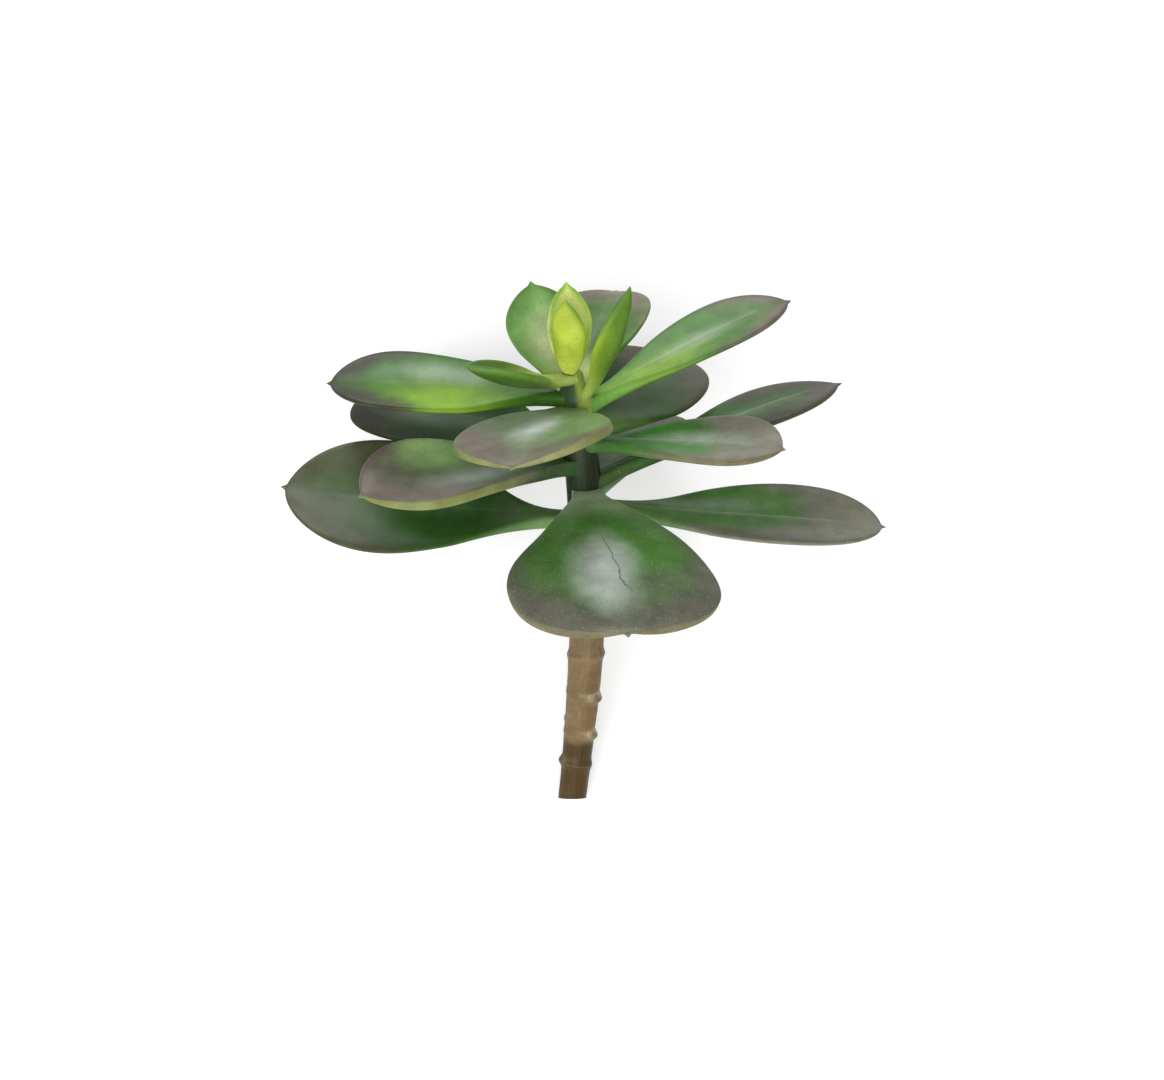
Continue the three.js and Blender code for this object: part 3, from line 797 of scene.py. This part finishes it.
LEAF_LOOKS = {
    "bud_leaf_front": dict(patch_strength=0.6, patch_along=0.45, patch=(0.6, 0.62, 0.1, 1)),
    "bud_leaf_back": dict(core=(0.66, 0.72, 0.22, 1), rim=(0.2, 0.4, 0.04, 1)),
    "crown_leaf_back_left": dict(core=(0.17, 0.33, 0.1, 1), patch_strength=1.0, patch_along=0.42,
        patch_across=-0.4, patch_size=0.5, patch=(0.7, 0.72, 0.45, 1)),
    "crown_leaf_right": dict(core=(0.09, 0.2, 0.02, 1), under=(0.1, 0.2, 0.02, 1), patch_strength=0.95,
        patch_along=0.35, patch_across=-1.0, patch_size=0.45, patch=(0.34, 0.46, 0.03, 1)),
    "crown_leaf_back": dict(core=(0.05, 0.14, 0.014, 1), blush=(0.17, 0.14, 0.115, 1), blush_from=0.7,
        blush_to=1.0),
    "crown_leaf_front_left": dict(core=(0.1, 0.2, 0.03, 1), under=(0.035, 0.09, 0.015, 1),
        patch_strength=0.9, patch_along=0.15, patch_size=0.55, patch=(0.5, 0.6, 0.16, 1)),
    "upper_leaf_left": dict(core=(0.04, 0.14, 0.012, 1), petiole=(0.05, 0.14, 0.02, 1), blush_from=0.75,
        blush_to=1.05, blush=(0.045, 0.045, 0.03, 1), patch_strength=0.9, patch_along=0.5,
        patch_across=0.7, patch_size=0.42, patch=(0.23, 0.42, 0.015, 1), bloom=0.3, bloom_along=0.5,
        bloom_across=-0.4),
    "upper_leaf_right": dict(core=(0.065, 0.175, 0.032, 1), petiole=(0.13, 0.3, 0.06, 1), blush_from=0.78,
        blush_to=1.08, blush=(0.15, 0.125, 0.1, 1), patch_strength=0.9, patch_along=0.3, patch_across=-0.4,
        patch_size=0.4, patch=(0.22, 0.38, 0.04, 1), bloom=0.3),
    "upper_leaf_front": dict(core=(0.16, 0.27, 0.1, 1), blush=(0.15, 0.13, 0.1, 1),
        petiole=(0.2, 0.3, 0.14, 1), rim=OLIVE_LIME, rim_strength=0.8, bloom=0.8, bloom_along=0.5,
        bloom_across=-0.1, blush_from=0.6, blush_to=1.0, blush_tilt=-0.1),
    "middle_leaf_back_right": dict(core=(0.03, 0.09, 0.015, 1), blush=(0.085, 0.08, 0.06, 1),
        blush_from=0.55, blush_to=1.0),
    "middle_leaf_front_right": dict(petiole=(0.06, 0.13, 0.035, 1), core=(0.06, 0.2, 0.035, 1),
        blush=(0.22, 0.21, 0.16, 1), rim=OLIVE_BROWN, rim_side=-1.0, rim_strength=0.7, blush_from=0.5,
        blush_to=0.85, bloom=0.45, bloom_across=0.1),
    # Painted shade: this leaf's very dark core and blush stand in for the shade of the leaves above it.
    "middle_leaf_back_left": dict(core=(0.013, 0.042, 0.008, 1), blush=(0.025, 0.025, 0.017, 1),
        bloom=0.12, bloom_along=0.6, bloom_across=0.2, gloss=0.3, blush_from=0.6, blush_to=1.0, dust=0.0),
    # Painted shade: the dark core and petiole stand in for the shadow of upper_leaf_front on this leaf.
    "middle_leaf_front_left": dict(core=(0.05, 0.12, 0.025, 1), petiole=(0.03, 0.07, 0.02, 1),
        rim=OLIVE_LIME, rim_side=1.0, rim_strength=0.8, patch_strength=0.95, patch_along=0.6,
        patch_across=-0.7, patch_size=0.4, patch=(0.3, 0.46, 0.18, 1), blush=(0.14, 0.12, 0.1, 1),
        blush_from=0.55, blush_to=0.9, blush_tilt=0.25, bloom=0.5, bloom_along=0.45, bloom_across=0.2),
    "middle_leaf_right": dict(petiole=(0.06, 0.11, 0.035, 1), core=(0.03, 0.11, 0.016, 1),
        blush=(0.075, 0.07, 0.05, 1), blush_from=0.6, blush_to=0.95),
    # Painted light: the pale grey-green petiole stands in for the light sheen on this leaf's foot.
    "lower_leaf_front": dict(core=(0.075, 0.2, 0.035, 1), petiole=(0.42, 0.52, 0.32, 1),
        blush=(0.125, 0.125, 0.095, 1), rim=OLIVE_BROWN, rim_strength=0.8, blush_from=0.6, blush_to=1.05,
        dust=0.6, bloom=0.95, bloom_along=0.65, bloom_across=-0.08, crack=0.6),
    "lower_leaf_right": dict(core=(0.09, 0.22, 0.05, 1), blush=(0.2, 0.2, 0.15, 1), blush_from=0.55,
        blush_to=0.85, blush_tilt=-0.15, dust=0.5, dust_side=-1.0, bloom=0.35, bloom_along=0.35,
        bloom_across=0.3),
    "lower_leaf_left": dict(core=(0.033, 0.1, 0.018, 1), petiole=(0.16, 0.26, 0.1, 1),
        blush=(0.085, 0.095, 0.055, 1), blush_from=0.6, blush_to=1.0, bloom=0.05),
}
for row in LEAVES:
    looks = {**AGE_LOOKS[row["age"]], **LEAF_LOOKS.get(row["name"], {})}
    leaves[row["name"]].data.materials.append(leaf_material(row["name"] + "_finish", **looks))
print("leaf finishes:", len(leaves), "of which with values of their own:", len(LEAF_LOOKS))

# %% [markdown]
# ## The stem's finish
# Old bark is tan with fine brown fibres, a darker, damper stretch at the cut end, and pale scars where leaves
# fell, with a painted glint beside each knuckle. Among the leaves the stem is green, painted nearly black
# there for the shade of the leaves over it, and under the bud its right side is painted a bright lime as its
# lit side.

# %% The stem's finish
TAN, BROWN, PITH = (0.15, 0.1, 0.045, 1), (0.055, 0.032, 0.008, 1), (0.3, 0.24, 0.13, 1)
# The lit stem lime is painted light on the right side under the bud.
# The scar and glint pale paints pale scars and the glints beside their knuckles.
SCAR_AND_GLINT_PALE, LIT_STEM_LIME = (0.42, 0.35, 0.22, 1), (0.3, 0.42, 0.07, 1)
# Painted shade: the stem's green among the leaves is nearly black, for the shade of the leaves over it.
SHADED_STEM_GREEN, STEM_YOUNG = (0.014, 0.024, 0.009, 1), (0.035, 0.08, 0.025, 1)
# The heights, as shares of the stem, between which each colour gives way to the next one up.
DAMP_TO_DRY, BARK_TO_SHADED_GREEN = (0.118, 0.145), (0.58, 0.72)
SHADED_GREEN_TO_YOUNG, YOUNG_TO_LIT_LIME = (0.8, 0.9), (0.85, 0.9)


def stem_material():
    """Colours by height along the stem, with painted shade among the leaves and a painted lit side under
    the bud, then its fibres, scars with their painted glints, and cut end.
    """
    material, wires = new_material("stem_finish")
    height, right, _ = wires.attribute("place")
    scar, pan, cut = wires.attribute("marks")
    place = wires.object_place()
    cloud = wires.times(wires.minus(wires.noise(place, 90.0, 3.0), 0.5), 0.03)
    level = wires.plus(height, cloud)
    colour = wires.blend(wires.step(level, *DAMP_TO_DRY), BROWN, TAN)
    # Painted shade among the leaves.
    colour = wires.blend(wires.step(level, *BARK_TO_SHADED_GREEN), colour, SHADED_STEM_GREEN)
    colour = wires.blend(wires.step(level, *SHADED_GREEN_TO_YOUNG), colour, STEM_YOUNG)
    # Painted light: the right side of the green top is painted a bright lime, as its lit side.
    lit_lime = wires.times(wires.step(level, *YOUNG_TO_LIT_LIME), wires.step(right, -0.1, 0.4))
    colour = wires.blend(lit_lime, colour, LIT_STEM_LIME)
    stretched = wires.put("Mapping", {"Vector": place, "Scale": (1.0, 0.12, 1.0)}).outputs[0]
    fibres = wires.step(wires.noise(stretched, 1400.0, 3.0, 0.6), 0.45, 0.7)
    colour = wires.blend(wires.times(fibres, 0.25), colour, BROWN)
    # The pale pans, with the painted glints beside the knuckles.
    colour = wires.blend(wires.times(pan, 0.75), colour, SCAR_AND_GLINT_PALE)
    colour = wires.blend(wires.times(wires.step(scar, 0.6, 1.0), 0.12), colour, SCAR_AND_GLINT_PALE)
    colour = wires.blend(wires.step(cut, 0.02, 0.2), colour, PITH)
    colour = wires.put("Group", {"Colour": colour, "Strength": 0.6}, node_tree=MOTTLE).outputs[0]
    rough = wires.plus(wires.times(fibres, 0.15), 0.42)
    height_of = wires.put("Group", {"Depth": 0.00005}, node_tree=GRAIN).outputs[0]
    height_of = wires.plus(height_of, wires.times(fibres, 0.00006))
    bump = wires.put("Bump", {"Height": height_of, "Strength": 0.6, "Distance": 1.0})
    shader = wires.put("BsdfPrincipled", {
        "Base Color": colour, "Roughness": rough, "Normal": bump.outputs[0], "IOR": 1.25,
        "Coat Weight": 0.06, "Coat Roughness": 0.25})
    wires.put("OutputMaterial", {"Surface": shader.outputs[0]})
    return material


stem.data.materials.append(stem_material())
print("stem finish:", stem.data.materials[0].name)

# %% [markdown]
# ## Joining the skins to the solids
# Each skin rides on the one body that the plant is, and hides the solid that it stands for.

# %% Riding and replacing
for row in LEAVES:
    skin = leaves[row["name"]]
    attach(skin, "root")
    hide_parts(row["name"])
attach(stem, "root")
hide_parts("stem")

# %% [markdown]
# ## The table and the light
# The plant lies on a plain white table that is lit a little from beneath, as for a catalogue picture, so that
# its shadow stays faint. A small panel stands low beyond the crown, because the upper faces of the leaves
# mirror that place towards the camera, and it adds a little shine to them. The main light is a wide panel,
# high up beyond the cut end, and a pale surround fills the shade.

# %% Table, panels and surround
MIDDLE = lay_down(np.array([0.0, 0.0, 125.0])).tolist()


def panel(title, place, aim, width, height, glow):
    """A soft oblong light at a place on or over the table, facing aim. Its power is glow * pi * its area, so
    glow is how bright the panel itself looks."""
    data = bpy.data.lights.new(title, "AREA")
    data.shape, data.size, data.size_y = "RECTANGLE", width, height
    data.energy = glow * np.pi * width * height
    lamp = bpy.data.objects.new(title, data)
    lamp.location = place
    lamp.rotation_mode = "QUATERNION"
    lamp.rotation_quaternion = (Vector(place) - Vector(aim)).to_track_quat("Z", "Y")
    bpy.context.scene.collection.objects.link(lamp)
    return lamp


def table_top():
    """A pale square, two metres from middle to side, lit a little from beneath."""
    mesh = bpy.data.meshes.new("table_top")
    mesh.from_pydata([(-2, -2, 0), (2, -2, 0), (2, 2, 0), (-2, 2, 0)], [], [(0, 1, 2, 3)])
    material, wires = new_material("table_finish")
    shader = wires.put("BsdfPrincipled", {"Base Color": (0.75, 0.75, 0.75, 1), "Roughness": 0.9,
                                          "Emission Color": (1, 1, 1, 1), "Emission Strength": 0.3})
    wires.put("OutputMaterial", {"Surface": shader.outputs[0]})
    mesh.materials.append(material)
    top = bpy.data.objects.new("table_top", mesh)
    bpy.context.scene.collection.objects.link(top)
    return top


table_top()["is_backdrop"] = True
panel("crown_panel", (-0.05, 0.52, 0.12), MIDDLE, 0.3, 0.16, 9.0)
panel("front_panel", (-0.3, -0.55, 0.85), MIDDLE, 0.9, 0.9, 5.2)
world = bpy.data.worlds.new("surround")
world.use_nodes = True
world.node_tree.nodes["Background"].inputs[0].default_value = (1.0, 1.0, 1.0, 1)
world.node_tree.nodes["Background"].inputs[1].default_value = 0.5
bpy.context.scene.world = world
bpy.context.scene.view_settings.view_transform = "Standard"

# %% [markdown]
# ## The sizes
# The skins should stay within a few millimetres of the solids' box. The script prints how far they stand out
# of it.

# %% Sizes and finish
SKIN_BOX = [list(corner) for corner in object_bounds()]
low, high = np.array(CAD_BOX[0]) - SKIN_BOX[0], np.array(SKIN_BOX[1]) - CAD_BOX[1]
print("skins stand proud of the solids' box by, in mm:", np.round(low * 1000, 2), np.round(high * 1000, 2))
